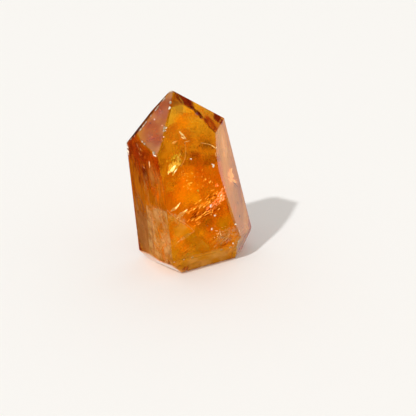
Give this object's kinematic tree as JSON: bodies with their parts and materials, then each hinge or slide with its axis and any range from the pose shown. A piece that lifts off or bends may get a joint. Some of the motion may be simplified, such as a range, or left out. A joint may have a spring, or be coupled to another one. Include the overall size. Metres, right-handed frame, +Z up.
{
  "type": "citrine crystal point",
  "caption": "Upright polished citrine point: a leaning six-sided quartz prism with a faceted tip and a flat, bevelled foot.",
  "frame": {"origin": "middle of the stone's box on the surface it stands on, under the foot", "axes": "+Z up to the tip, -Y towards the front, +X to the right"},
  "size_m": [0.0552, 0.0482, 0.0864],
  "materials": {
    "citrine": "polished clear stone, honey orange in its depth, with gas-and-liquid veils, gold flashes and small pits and chips"
  },
  "bodies": {
    "root": {"crystal_point": "citrine"}
  },
  "joints": []
}
